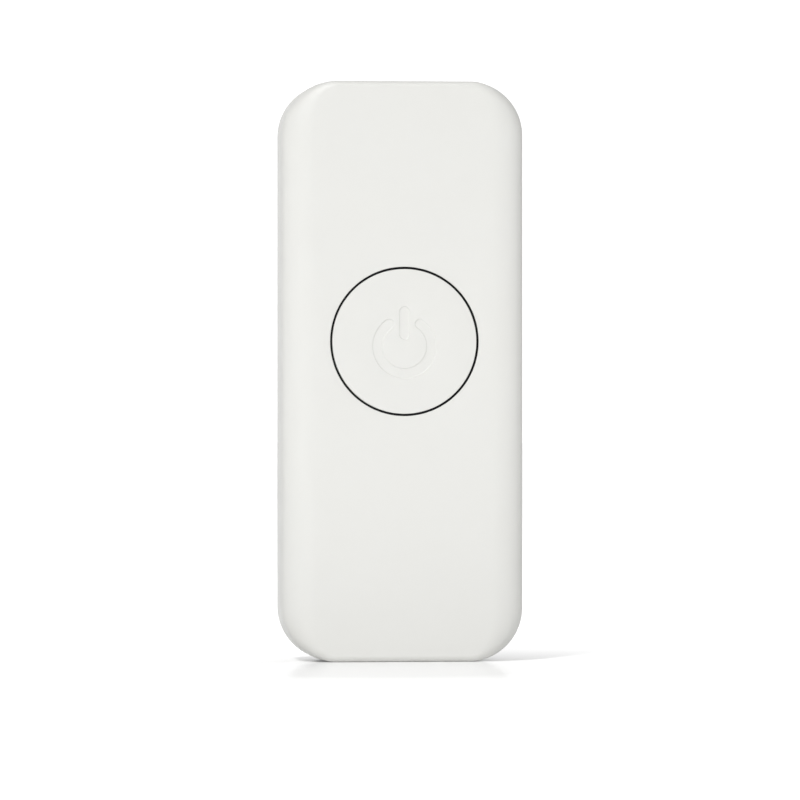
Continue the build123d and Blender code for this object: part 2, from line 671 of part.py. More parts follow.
BMS_X, COMMS_X, BOARD_Z = -135.0, 140.0, 222.0
BMS_SIZE, COMMS_SIZE = (110.0, 190.0), (90.0, 150.0)
BOARDS = ((BMS_X, BMS_SIZE), (COMMS_X, COMMS_SIZE))
BOARD_BACK, BOARD_T = TRAY_FRONT + 10.0, 1.6
BOARD_FRONT = BOARD_BACK + BOARD_T


def board_corners(x, size):
    """The four fixing positions of a board."""
    reach_x, reach_z = size[0] / 2 - 6, size[1] / 2 - 6
    return [(x + sx * reach_x, BOARD_Z + sz * reach_z) for sx in (-1, 1) for sz in (-1, 1)]


def boxes_on_board(x, places, size, tall):
    """Equal rectangular components on a board, at places counted from its centre."""
    with BuildPart() as components:
        with BuildSketch(from_wall(BOARD_FRONT)):
            with Locations(*[(x + dx, BOARD_Z + dz) for dx, dz in places]):
                Rectangle(*size)
        extrude(amount=tall)
    return components.part


with BuildPart() as circuit_boards:
    for x, size in BOARDS:
        with BuildSketch(from_wall(BOARD_BACK)):
            with Locations((x, BOARD_Z)):
                RectangleRounded(*size, 3.0)
            with Locations(*board_corners(x, size)):
                Circle(1.5, mode=Mode.SUBTRACT)
        extrude(amount=BOARD_T)
write(circuit_boards, "circuit_boards")

with BuildPart() as board_spacers:
    for x, size in BOARDS:
        with BuildSketch(from_wall(TRAY_FRONT)):
            with Locations(*board_corners(x, size)):
                RegularPolygon(3.4, 6)
        extrude(amount=BOARD_BACK - TRAY_FRONT)
        with BuildSketch(from_wall(BOARD_BACK)):
            with Locations(*board_corners(x, size)):
                Circle(1.5)
        extrude(amount=BOARD_T + 2.0)
write(board_spacers, "board_spacers")

SINK_Z = BOARD_Z + 30.0
with BuildPart() as heat_sink:
    with BuildSketch(from_wall(BOARD_FRONT)):
        with Locations((BMS_X, SINK_Z)):
            Rectangle(80.0, 70.0)
    extrude(amount=4.0)
    with BuildSketch(from_wall(BOARD_FRONT + 4.0)):
        with Locations((BMS_X, SINK_Z)):
            with GridLocations(8.0, 1.0, 10, 1):
                Rectangle(1.8, 70.0)
    extrude(amount=22.0)
write(heat_sink, "heat_sink")

with BuildPart() as capacitors:
    with BuildSketch(from_wall(BOARD_FRONT)):
        with Locations((BMS_X, BOARD_Z - 20)):
            with GridLocations(18.0, 1.0, 5, 1):
                Circle(6.5)
    extrude(amount=20.0)
write(capacitors, "capacitors")

with BuildPart() as board_components:
    add(boxes_on_board(BMS_X, [(-30, -50), (0, -50), (30, -50)], (24.0, 16.0), 9.0))
    add(boxes_on_board(BMS_X, [(0, -80)], (70.0, 10.0), 12.0))
    add(boxes_on_board(COMMS_X, [(-22, 55), (0, 55), (22, 55)], (16.0, 21.0), 13.5))
    add(boxes_on_board(COMMS_X, [(-12, 10)], (40.0, 34.0), 3.0))
    add(boxes_on_board(COMMS_X, [(5, -40)], (60.0, 36.0), 24.0))
write(board_components, "board_components")

FUSE_FOOT, FUSE_BODY, FUSE_R = SHELF_Z + 20.0, 80.0, 16.0
with BuildPart() as main_fuse:
    with BuildSketch(Plane.XY.offset(FUSE_FOOT)):
        with Locations((FUSE_X, -FUSE_AT)):
            Circle(FUSE_R)
    extrude(amount=FUSE_BODY)
    with BuildSketch(Plane.XY.offset(SHELF_Z)):
        with Locations((FUSE_X, -FUSE_AT)):
            Rectangle(4.0, 18.0)
    extrude(amount=FUSE_TALL)
write(main_fuse, "main_fuse")

with BuildPart() as fuse_base:
    with BuildSketch(from_wall(TRAY_FRONT)):
        with Locations((FUSE_X, SHELF_Z + FUSE_TALL / 2)):
            RectangleRounded(46.0, FUSE_TALL - 4, 4.0)
    extrude(amount=12.0)
    with BuildSketch(from_wall(TRAY_FRONT + 12.0)):
        with Locations((FUSE_X, SHELF_Z + FUSE_TALL / 2)):
            with GridLocations(1.0, 56.0, 1, 2):
                Rectangle(40.0, 12.0)
    extrude(amount=12.0)
    with BuildSketch(Plane.XY.offset(FUSE_FOOT - 1)):
        with Locations((FUSE_X, -FUSE_AT)):
            Circle(FUSE_R + 0.1)
    extrude(amount=FUSE_BODY + 2, mode=Mode.SUBTRACT)
write(fuse_base, "fuse_base")

with BuildPart() as current_shunt:
    for foot in (SHELF_Z, SHELF_Z + FUSE_TALL - 30.0):
        with BuildSketch(Plane.XY.offset(foot)):
            with Locations((-FUSE_X, -FUSE_AT)):
                Rectangle(24.0, 20.0)
        extrude(amount=30.0)
    with BuildSketch(Plane.XY.offset(SHELF_Z + 30.0)):
        with Locations((-FUSE_X, -FUSE_AT)):
            with GridLocations(7.0, 1.0, 3, 1):
                Rectangle(2.0, 18.0)
    extrude(amount=FUSE_TALL - 60.0)
write(current_shunt, "current_shunt")

SHUNT_TOP = SHELF_Z + FUSE_TALL
CONTACTOR_FOOT, CONTACTOR_TALL = SHUNT_TOP + 12.0, 66.0
CONTACTOR_TOP = CONTACTOR_FOOT + CONTACTOR_TALL
with BuildPart() as contactor:
    for start, length in ((TRAY_FRONT, 66.0), (TRAY_FRONT + 66.0, 6.0)):
        with BuildSketch(from_wall(start)):
            with Locations((FUSE_X, CONTACTOR_FOOT + CONTACTOR_TALL / 2)):
                if start == TRAY_FRONT:
                    RectangleRounded(62.0, CONTACTOR_TALL, 5.0)
                else:
                    Circle(22.0)
        extrude(amount=length)
write(contactor, "contactor")

with BuildPart() as power_plate:
    with BuildSketch(from_wall(BACK + WALL)):
        with Locations((-20.0, 450.0)):
            RectangleRounded(300.0, 170.0, 6.0)
        with Locations(VENT_XZ):
            Circle(14.0, mode=Mode.SUBTRACT)
        with Locations(*PLATE_SCREWS):
            Circle(SMALL_SCREW_R, mode=Mode.SUBTRACT)
    extrude(amount=PLATE_T)
write(power_plate, "power_plate")

RAIL_Z, RAIL_T, RAIL_LONG = 445.0, 1.0, 210.0
with BuildPart() as din_rail:
    with BuildSketch(Plane.YZ.offset(-RAIL_LONG / 2 - 5)):
        with Locations((-RAIL_BACK - 3.75, RAIL_Z)):
            Rectangle(7.5, 27.0)
        with Locations((-RAIL_BACK - 7.0, RAIL_Z)):
            Rectangle(RAIL_T, 35.0)
        with Locations((-RAIL_BACK - RAIL_T - 3.25, RAIL_Z)):
            Rectangle(6.5, 25.0, mode=Mode.SUBTRACT)
    extrude(amount=RAIL_LONG)
write(din_rail, "din_rail")

BLOCKS, BLOCK_PITCH, BLOCK_X, BLOCK_TALL = 8, 12.5, -30.0, 56.0
BLOCK_BACK, BLOCK_FRONT = RAIL_BACK + 7.5, RAIL_BACK + 52.0
with BuildPart() as terminal_blocks:
    with BuildSketch(from_wall(BLOCK_BACK)):
        with Locations((BLOCK_X, RAIL_Z)):
            with GridLocations(BLOCK_PITCH, 1.0, BLOCKS, 1):
                Rectangle(12.0, BLOCK_TALL)
    extrude(amount=BLOCK_FRONT - BLOCK_BACK)
    with BuildSketch(from_wall(BLOCK_FRONT)):
        with Locations((BLOCK_X, RAIL_Z)):
            with GridLocations(BLOCK_PITCH, 34.0, BLOCKS, 2):
                Circle(4.0)
    extrude(amount=-8.0, mode=Mode.SUBTRACT)
write(terminal_blocks, "terminal_blocks")

ISO_IN, ISO_OUT, ISO_SIZE = 150.0, 219.5, 60.0
SHAFT_R, PORT_R, PORT = 4.0, 5.5, 15.0
SHAFT_END = ISO_OUT - 12.0
with BuildPart() as isolator_body:
    with BuildSketch(Plane.YZ.offset(ISO_IN)):
        with Locations((-KNOB_AT, KNOB_Z)):
            RectangleRounded(ISO_SIZE, ISO_SIZE, 4.0)
    extrude(amount=ISO_OUT - ISO_IN)
    # foot and flanges on the housing's back
    with BuildSketch(from_wall(BACK + WALL)):
        with Locations((ISO_FOOT_X, KNOB_Z)):
            Rectangle(40.0, 44.0)
    extrude(amount=KNOB_AT - ISO_SIZE / 2 - BACK - WALL + 1)
    with BuildSketch(from_wall(BACK + WALL)):
        with Locations((ISO_FOOT_X, KNOB_Z)):
            RectangleRounded(24.0, 92.0, 4.0)
        with Locations(*ISO_SCREWS):
            Circle(SMALL_SCREW_R, mode=Mode.SUBTRACT)
    extrude(amount=FLANGE_T)
    # bore for the knob's shaft, and the four cable ports
    with BuildSketch(Plane.YZ.offset(ISO_OUT)):
        with Locations((-KNOB_AT, KNOB_Z)):
            Circle(SHAFT_R + 0.05)
    extrude(amount=SHAFT_END - 2 - ISO_OUT, mode=Mode.SUBTRACT)
    with BuildSketch(Plane.YZ.offset(ISO_IN)):
        with Locations((-KNOB_AT, KNOB_Z)):
            with GridLocations(2 * PORT, 2 * PORT, 2, 2):
                Circle(PORT_R)
    extrude(amount=15.0, mode=Mode.SUBTRACT)
write(isolator_body, "isolator_body")

with BuildPart() as isolator_seal:
    with BuildSketch(Plane.YZ.offset(ISO_OUT)):
        with Locations((-KNOB_AT, KNOB_Z)):
            Circle(12.0)
            Circle(SHAFT_R + 0.4, mode=Mode.SUBTRACT)
    extrude(amount=POCKET_FLOOR - WALL - ISO_OUT)
write(isolator_seal, "isolator_seal")

KNOB_BACK, KNOB_DECK, KNOB_OUT, KNOB_R = 228.0, 235.0, 247.5, 25.0
with BuildPart() as isolator_knob:
    with BuildSketch(Plane.YZ.offset(KNOB_BACK)):
        with Locations((-KNOB_AT, KNOB_Z)):
            Circle(KNOB_R)
    extrude(amount=KNOB_DECK - KNOB_BACK)
    fillet(isolator_knob.faces().sort_by(Axis.X)[-1].edges(), 1.5)
    with BuildSketch(Plane.YZ.offset(KNOB_DECK)):
        with Locations((-KNOB_AT, KNOB_Z)):
            SlotOverall(48.0, 13.0, rotation=90)
    extrude(amount=KNOB_OUT - KNOB_DECK, taper=4.0)
    fillet(isolator_knob.faces().sort_by(Axis.X)[-1].edges(), 1.5)
    with BuildSketch(Plane.YZ.offset(KNOB_BACK)):
        with Locations((-KNOB_AT, KNOB_Z)):
            Circle(SHAFT_R)
    extrude(amount=SHAFT_END - KNOB_BACK)
write(isolator_knob, "isolator_knob")

with BuildPart() as isolator_dial:
    with BuildSketch(Plane.YZ.offset(POCKET_FLOOR)):
        with Locations((-KNOB_AT, KNOB_Z)):
            Circle(POCKET_R)
            Circle(8.0, mode=Mode.SUBTRACT)
    extrude(amount=0.8)
write(isolator_dial, "isolator_dial")

LEAD_R, PORT_END = 5.0, ISO_IN + 14.0
NEAR, FAR = KNOB_AT + PORT, KNOB_AT - PORT  # distances of the isolator's ports from the wall
LOW, HIGH = KNOB_Z - PORT, KNOB_Z + PORT


def lead(points, bend):
    """A round lead along straight runs joined by tangent arcs. A point is (x, distance from the wall, z)."""
    with BuildPart() as wire:
        with BuildLine() as route:
            FilletPolyline(*[(x, -distance, z) for x, distance, z in points], radius=bend)
        with BuildSketch(Plane(route.line @ 0, z_dir=route.line % 0)):
            Circle(LEAD_R)
        sweep(path=route.line)
    return wire.part


def block_end(number, end):
    """Where a lead meets a terminal block, at its lower or upper end."""
    across = BLOCK_X + (number - (BLOCKS - 1) / 2) * BLOCK_PITCH
    return (across, FAR, RAIL_Z + end * BLOCK_TALL / 2)


low_end, high_end = block_end(7, -1), block_end(6, 1)
LOW_TURN, HIGH_TURN = 378.0, 500.0  # heights at which the leads to the terminal blocks turn
POSITIVE = [
    (FUSE_X, FUSE_AT, CONTACTOR_TOP),
    (FUSE_X, FUSE_AT, 380.0),
    (100.0, NEAR, LOW),
    (PORT_END, NEAR, LOW),
]
POSITIVE_OUT = [
    (PORT_END, FAR, LOW),
    (100.0, FAR, LOW),
    (55.0, FAR, LOW_TURN),
    (low_end[0], FAR, LOW_TURN),
    low_end,
]
NEGATIVE = [
    (-FUSE_X, FUSE_AT, SHUNT_TOP),
    (-FUSE_X, FUSE_AT, 372.0),
    (20.0, 96.0, HIGH),
    (90.0, NEAR, HIGH),
    (PORT_END, NEAR, HIGH),
]
NEGATIVE_OUT = [
    (PORT_END, FAR, HIGH),
    (105.0, FAR, HIGH),
    (60.0, FAR, HIGH_TURN),
    (high_end[0], FAR, HIGH_TURN),
    high_end,
]
with BuildPart() as positive_leads:
    add(lead(POSITIVE, 18.0))
    add(lead(POSITIVE_OUT, 14.0))
write(positive_leads, "positive_leads")

with BuildPart() as negative_leads:
    add(lead(NEGATIVE, 18.0))
    add(lead(NEGATIVE_OUT, 13.0))
write(negative_leads, "negative_leads")

# ---------------------------------------------------------------- cable entry
GLANDS = [(x, -GLAND_AT) for x in GLAND_X]
HEX_TALL, NECK_TALL, NECK_R, TUBE_R = 6.0, 12.0, 12.0, 9.5
NECK_FOOT = BAY_TOP - HEX_TALL - NECK_TALL
CAP_FOOT = NECK_FOOT - 8.0
with BuildPart() as cable_glands:
    with BuildSketch(Plane.XY.offset(BAY_TOP - HEX_TALL)):
        with Locations(*GLANDS):
            RegularPolygon(17.0, 6)
    extrude(amount=HEX_TALL)
    with BuildSketch(Plane.XY.offset(BAY_TOP)):
        with Locations(*GLANDS):
            Circle(GLAND_R)
    extrude(amount=16.0)
    with BuildSketch(Plane.XY.offset(NECK_FOOT)):
        with Locations(*GLANDS):
            Circle(NECK_R)
    extrude(amount=NECK_TALL)
    with BuildSketch(Plane.XY.offset(NECK_FOOT)):
        with Locations(*GLANDS):
            Circle(TUBE_R)
    extrude(amount=NECK_TALL + HEX_TALL + 16.0, mode=Mode.SUBTRACT)
write(cable_glands, "cable_glands")

with BuildPart() as gland_caps:
    with BuildSketch(Plane.XY.offset(CAP_FOOT)):
        with Locations(*GLANDS):
            RegularPolygon(16.5, 6)
    extrude(amount=18.0)
    chamfer(gland_caps.faces().group_by(Axis.Z)[0].edges(), 1.2)
    with BuildSketch(Plane.XY.offset(CAP_FOOT + 4.0)):
        with Locations(*GLANDS):
            Circle(NECK_R)
    extrude(amount=14.0, mode=Mode.SUBTRACT)
    with BuildSketch(Plane.XY.offset(CAP_FOOT)):
        with Locations(*GLANDS):
            Circle(8.0)
    extrude(amount=4.0, mode=Mode.SUBTRACT)
write(gland_caps, "gland_caps")

with BuildPart() as gland_seals:
    with BuildSketch(Plane.XY.offset(CAP_FOOT + 4.0)):
        with Locations(*GLANDS):
            Circle(TUBE_R)
            Circle(CABLE_R, mode=Mode.SUBTRACT)
    extrude(amount=20.0)
write(gland_seals, "gland_seals")

with BuildPart() as gland_locknuts:
    with BuildSketch(Plane.XY.offset(BAY_TOP + WALL)):
        with Locations(*GLANDS):
            RegularPolygon(17.0, 6)
            Circle(GLAND_R, mode=Mode.SUBTRACT)
    extrude(amount=5.0)
write(gland_locknuts, "gland_locknuts")

EARTH_STEPS = (  # start, length and radius of the pin, the neck in the housing, and the head inside
    (BAY_DEPTH - 16.0, 16.0, EARTH_R),
    (BAY_DEPTH, WALL, EARTH_NECK_R),
    (BAY_DEPTH + WALL, 1.5, 6.0),
)
with BuildPart() as earth_stud:
    for start, length, radius in EARTH_STEPS:
        with BuildSketch(from_wall(start)):
            with Locations(EARTH_XZ):
                Circle(radius)
        extrude(amount=length)
write(earth_stud, "earth_stud")

# ---------------------------------------------------------------- wall bracket
with BuildPart() as wall_bracket:
    with BuildSketch(from_wall(0)):
        RectangleRounded(2 * BOLT_X + 50, 2 * BOLT_Z + 80, 12.0)
        RectangleRounded(2 * WINDOW_X, 2 * WINDOW_Z, 4.0, mode=Mode.SUBTRACT)
        with Locations(*[(sx * BOLT_X, sz * BOLT_Z) for sx in (-1, 1) for sz in (-1, 1)]):
            Circle(BOLT_HOLE, mode=Mode.SUBTRACT)
    extrude(amount=SHEET)
    for z in HOOK_Z:
        with BuildSketch(Plane.XY.offset(z)):
            with Locations(*[(side * HOOK_X, -(SHEET + 8.0) / 2) for side in (-1, 1)]):
                Rectangle(HOOK_W, SHEET + 8.0)
        extrude(amount=SHEET)
        with BuildSketch(Plane.XY.offset(z)):
            with Locations(*[(side * HOOK_X, -(SHEET / 2 + 8.0)) for side in (-1, 1)]):
                Rectangle(HOOK_W, SHEET)
        extrude(amount=LIP_TOP)
write(wall_bracket, "wall_bracket")

HANGER_W, HANGER_T = 60.0, 2.5
with BuildPart() as hangers:
    for z in HOOK_Z:
        bridge = z + LIP_TOP
        for foot, top, near, far in (
            (bridge, bridge + 42.0, BACK - HANGER_T, BACK),
            (bridge, bridge + HANGER_T, 4.5, BACK),
            (z + 6.0, bridge + HANGER_T, 4.5, 7.0),
        ):
            with BuildSketch(Plane.XY.offset(foot)):
                with Locations(*[(side * HOOK_X, -(near + far) / 2) for side in (-1, 1)]):
                    Rectangle(HANGER_W, far - near)
            extrude(amount=top - foot)
    with BuildSketch(from_wall(BACK - HANGER_T)):
        with Locations(*HANGER_RIVETS):
            Circle(RIVET_R)
    extrude(amount=HANGER_T, mode=Mode.SUBTRACT)
write(hangers, "hangers")

with BuildPart() as hanger_rivets:
    for radius, length in ((4.5, -1.5), (RIVET_R, HANGER_T + WALL)):
        with BuildSketch(from_wall(BACK - HANGER_T)):
            with Locations(*HANGER_RIVETS):
                Circle(radius)
        extrude(amount=length)
write(hanger_rivets, "hanger_rivets")

with BuildPart() as wall_bumpers:
    with BuildSketch(from_wall(0)):
        with Locations((-120.0, -535.0), (120.0, -535.0)):
            Circle(15.0)
    extrude(amount=BACK)
    chamfer(wall_bumpers.faces().sort_by(Axis.Y)[-2:].edges(), 1.5)
write(wall_bumpers, "wall_bumpers")
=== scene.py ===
"""Looks of the wall battery unit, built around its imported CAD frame.

Metres. +Z is up, the wall is the plane Y = 0 and the room lies towards -Y, so a piece at a distance d from
the wall lies at Y = -d. The front cover, the press disc and the disc's springs get meshes of their own. Every
other CAD node stays, with a procedural material.
"""

import json
from math import acos, cos, pi, radians, sin

import bmesh
import bpy
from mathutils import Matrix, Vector


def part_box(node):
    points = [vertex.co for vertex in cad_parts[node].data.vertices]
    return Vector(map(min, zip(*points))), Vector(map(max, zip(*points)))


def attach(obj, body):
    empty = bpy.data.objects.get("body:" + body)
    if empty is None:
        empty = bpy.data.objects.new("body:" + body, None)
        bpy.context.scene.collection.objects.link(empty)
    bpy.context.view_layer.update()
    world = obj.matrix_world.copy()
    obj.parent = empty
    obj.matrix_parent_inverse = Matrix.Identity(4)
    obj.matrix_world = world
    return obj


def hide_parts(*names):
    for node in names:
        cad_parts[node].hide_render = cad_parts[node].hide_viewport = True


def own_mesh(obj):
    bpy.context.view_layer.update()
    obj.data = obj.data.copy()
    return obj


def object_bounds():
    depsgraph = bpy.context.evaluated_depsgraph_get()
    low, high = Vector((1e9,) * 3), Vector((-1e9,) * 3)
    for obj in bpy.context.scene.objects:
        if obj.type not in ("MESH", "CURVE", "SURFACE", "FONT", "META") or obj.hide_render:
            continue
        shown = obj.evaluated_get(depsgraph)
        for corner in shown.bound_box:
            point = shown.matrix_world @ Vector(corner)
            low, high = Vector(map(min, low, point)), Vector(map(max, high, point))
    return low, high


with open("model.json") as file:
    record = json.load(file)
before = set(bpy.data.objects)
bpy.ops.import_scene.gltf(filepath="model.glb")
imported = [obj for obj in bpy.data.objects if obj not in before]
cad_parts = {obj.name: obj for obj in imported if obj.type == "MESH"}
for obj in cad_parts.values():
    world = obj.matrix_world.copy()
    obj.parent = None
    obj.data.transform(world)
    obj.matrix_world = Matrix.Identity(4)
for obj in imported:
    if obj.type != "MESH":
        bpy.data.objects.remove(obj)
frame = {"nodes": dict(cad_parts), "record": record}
cad_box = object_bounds()
MM = 0.001

# ---------------------------------------------------------------- sizes read from the frame
cover_low, cover_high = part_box("front_cover")
disc_low, disc_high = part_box("press_disc")
HALF_W = (cover_high.x - cover_low.x) / 2
HALF_H = 600 * MM
DEPTH = -disc_low.y
PARTING = 112 * MM  # the cover's rear edge; behind it lies the gasket
CORNER = 110 * MM
SIDE_ROLL, END_ROLL, ROLL_DROP = 66 * MM, 13 * MM, 42 * MM
SKIN = 3.5 * MM
RUN_X, RUN_Z = HALF_W - CORNER, HALF_H - CORNER
DISC_R = (disc_high.x - disc_low.x) / 2
DISC_Z = (disc_high.z + disc_low.z) / 2
HOLE_R = DISC_R + 4.7 * MM
FOOT_Z = cad_box[0].z


# ---------------------------------------------------------------- mesh helpers
CREASE, SOFT_CREASE = 30, 35  # degrees


def mesh_piece(name, shape, body, replaces=()):
    """A piece from gathered rings, on a CAD body."""
    mesh = bpy.data.meshes.new(name)
    mesh.from_pydata([tuple(p) for p in shape.points], [], shape.faces)
    mesh.validate()
    piece = bpy.data.objects.new(name, mesh)
    bpy.context.scene.collection.objects.link(piece)
    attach(piece, body)
    if replaces:
        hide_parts(*replaces)
    face_outwards(piece)
    return piece


def face_outwards(piece):
    """Turns every face of a closed mesh to the outside."""
    shape = bmesh.new()
    shape.from_mesh(piece.data)
    bmesh.ops.recalc_face_normals(shape, faces=shape.faces)
    shape.to_mesh(piece.data)
    shape.free()


def smooth(piece, crease):
    """Smooth shading, but sharp where two faces meet at more than the crease angle, in degrees."""
    piece.data.shade_smooth()
    piece.data.set_sharp_from_angle(angle=radians(crease))


def strip(faces, ring_a, ring_b):
    """Quads between two closed rings of vertex numbers."""
    count = len(ring_a)
    for k in range(count):
        faces.append((ring_a[k], ring_a[(k + 1) % count], ring_b[(k + 1) % count], ring_b[k]))


class Rings:
    """Points gathered ring by ring."""

    def __init__(self):
        self.points = []
        self.faces = []

    def ring(self, points):
        first = len(self.points)
        self.points.extend(points)
        return list(range(first, len(self.points)))

    def join(self, rings, closed=False):
        following = rings[1:] + (rings[:1] if closed else [])
        for a, b in zip(rings, following):
            strip(self.faces, a, b)

    def fill(self, *loops):
        """Triangles over a flat region that the loops bound."""
        shape = bmesh.new()
        number = {}
        edges = []
        for loop in loops:
            corners = [shape.verts.new(self.points[k]) for k in loop]
            number.update(zip(corners, loop))
            edges += [shape.edges.new((a, b)) for a, b in zip(corners, corners[1:] + corners[:1])]
        made = bmesh.ops.triangle_fill(shape, edges=edges, use_beauty=True, use_dissolve=False)
        for face in made["geom"]:
            if isinstance(face, bmesh.types.BMFace):
                self.faces.append(tuple(number[v] for v in face.verts))
        shape.free()


# ---------------------------------------------------------------- front cover
ARC_STEPS, SIDE_STEPS, END_STEPS, ROLL_STEPS = 36, 24, 8, 44
SCREW_X, SCREW_Z = 233 * MM, (-505 * MM, -170 * MM, 170 * MM, 505 * MM)
HOLE_EDGE = 1.2 * MM


def roll(turn, skin):
    """Side inset, end inset and depth behind the face, at a turn of 0 (face) to a quarter (side wall)."""
    drop = ROLL_DROP - skin
    depth = drop * (1 - cos(turn))
    side = skin + (SIDE_ROLL - skin) * (1 - sin(turn))
    end_drop = END_ROLL - skin
    end = skin
    if depth < end_drop:
        end += end_drop * (1 - sin(acos(1 - depth / end_drop)))
    return side, end, depth + skin


def outline(side, end, distance):
    """One ring of the casing's outline, drawn in at the sides and at the ends."""
    ring = []
    corners = ((1, 1, 0), (-1, 1, 1), (-1, -1, 2), (1, -1, 3))
    for sx, sz, quarter in corners:
        arc = []
        for k in range(ARC_STEPS + 1):
            turn = pi / 2 * (quarter + k / ARC_STEPS)
            x = sx * RUN_X + (CORNER - side) * cos(turn)
            z = sz * RUN_Z + (CORNER - end) * sin(turn)
            arc.append(Vector((x, -distance, z)))
        start = arc.pop()
        along_end = quarter in (0, 2)
        steps = END_STEPS if along_end else SIDE_STEPS
        run = Vector((-sx * 2 * RUN_X, 0, 0)) if along_end else Vector((0, 0, -sz * 2 * RUN_Z))
        ring += arc + [start + run * (k / steps) for k in range(steps)]
    return ring


def circle(radius, distance, centre=(0, DISC_Z), steps=160):
    """A ring parallel to the wall, round the disc's axis or another centre."""
    x, z = centre
    turns = [2 * pi * k / steps for k in range(steps)]
    return [Vector((x + radius * cos(t), -distance, z + radius * sin(t))) for t in turns]


def quarter_round(radius, steps):
    """(inward, backward) offsets along a quarter round edge, from the face to the side."""
    turns = [pi / 2 * k / steps for k in range(steps + 1)]
    return [(radius * (1 - sin(t)), radius * (1 - cos(t))) for t in turns]


def cover_skin(shape, skin):
    """Rings of the cover's form, from the parting line to the edge of the flat face."""
    rings = []
    if skin == 0:
        chamfer = 0.5 * MM
        rings.append(shape.ring(outline(chamfer, chamfer, PARTING)))
        rings.append(shape.ring(outline(0, 0, PARTING + chamfer)))
    else:
        rings.append(shape.ring(outline(skin, skin, PARTING)))
    for k in range(ROLL_STEPS, -1, -1):
        side, end, depth = roll(pi / 2 * k / ROLL_STEPS, skin)
        rings.append(shape.ring(outline(side, end, DEPTH - depth)))
    shape.join(rings)
    return rings


def make_cover():
    """The cover: its outside and inside, joined at the parting line and at the disc's hole."""
    shape = Rings()
    outside = cover_skin(shape, 0.0)
    inside = cover_skin(shape, SKIN)
    strip(shape.faces, outside[0], inside[0])
    edge = quarter_round(HOLE_EDGE, 6)
    rim = [shape.ring(circle(HOLE_R + outward, DEPTH - back)) for outward, back in edge]
    rim.append(shape.ring(circle(HOLE_R, DEPTH - SKIN)))
    shape.join(rim)
    shape.fill(outside[-1], rim[0])
    shape.fill(inside[-1], rim[-1])
    cover = mesh_piece("cover_shell", shape, "unit", ["front_cover"])
    smooth(cover, SOFT_CREASE)
    return cover


def make_cover_lip():
    """The lip that locates the cover inside the housing's rim."""
    gap, thick, deep = 0.4 * MM, 2 * MM, 8 * MM
    shape = Rings()
    outer, inner = SKIN + gap, SKIN + gap + thick
    rings = [
        shape.ring(outline(inset, inset, distance))
        for inset, distance in (
            (outer, PARTING - deep + thick / 4),
            (outer + thick / 4, PARTING - deep),
            (inner - thick / 4, PARTING - deep),
            (inner, PARTING - deep + thick / 4),
            (inner, PARTING + deep),
            (outer, PARTING + deep),
        )
    ]
    shape.join(rings, closed=True)
    lip = mesh_piece("cover_lip", shape, "unit")
    smooth(lip, CREASE)
    return lip


def make_cover_bosses():
    """Hollow bosses inside the cover, which take its screws."""
    outer, bore, start, end = 6 * MM, 3.8 * MM, PARTING, PARTING + 30 * MM
    profile = ((outer, start), (outer, end), (bore, end), (bore, start))
    shape = Rings()
    for side in (-1, 1):
        for z in SCREW_Z:
            centre = (side * SCREW_X, z)
            rings = [shape.ring(circle(radius, distance, centre, 32)) for radius, distance in profile]
            shape.join(rings, closed=True)
    bosses = mesh_piece("cover_bosses", shape, "unit")
    smooth(bosses, CREASE)
    return bosses


# ---------------------------------------------------------------- press disc
# the sunk power mark: an open ring and a bar
MARK_R, MARK_W, MARK_DEPTH, MARK_SLOPE = 56 * MM, 20 * MM, 1.5 * MM, 2.8 * MM
MARK_Z = DISC_Z - 10 * MM
MARK_GAP = radians(70)
BAR_Z, BAR_HALF = MARK_Z + 48 * MM, 24 * MM
RING_STEPS, CAP_STEPS, BAR_STEPS = 90, 16, 24


def slot_ring(half_width, distance):
    """Outline of the mark's open ring, at a half width."""
    start, end = pi / 2 + MARK_GAP / 2, 5 * pi / 2 - MARK_GAP / 2
    ring = []
    for radius, first, last in ((MARK_R + half_width, start, end), (MARK_R - half_width, end, start)):
        cap = MARK_R * Vector((cos(last), sin(last)))
        turns = [first + (last - first) * k / RING_STEPS for k in range(RING_STEPS + 1)]
        ring += [Vector((radius * cos(t), -distance, MARK_Z + radius * sin(t))) for t in turns]
        outward = last if first < last else last + pi
        for k in range(1, CAP_STEPS):
            t = outward + pi * k / CAP_STEPS
            x, z = cap.x + half_width * cos(t), cap.y + half_width * sin(t)
            ring.append(Vector((x, -distance, MARK_Z + z)))
    return ring


def slot_bar(half_width, distance):
    """Outline of the mark's bar, at a half width."""
    ring = []
    for end, first in ((BAR_HALF, 0), (-BAR_HALF, pi)):
        for k in range(BAR_STEPS + 1):
            t = first + pi * k / BAR_STEPS
            ring.append(Vector((half_width * cos(t), -distance, BAR_Z + end + half_width * sin(t))))
    return ring


def sunk_profile(steps=10):
    """(half width, depth) pairs down the soft wall of the sunk mark."""
    pairs = []
    for k in range(steps + 1):
        along = k / steps
        eased = along * along * (3 - 2 * along)
        pairs.append((MARK_W / 2 + MARK_SLOPE * (0.5 - along), MARK_DEPTH * eased))
    return pairs


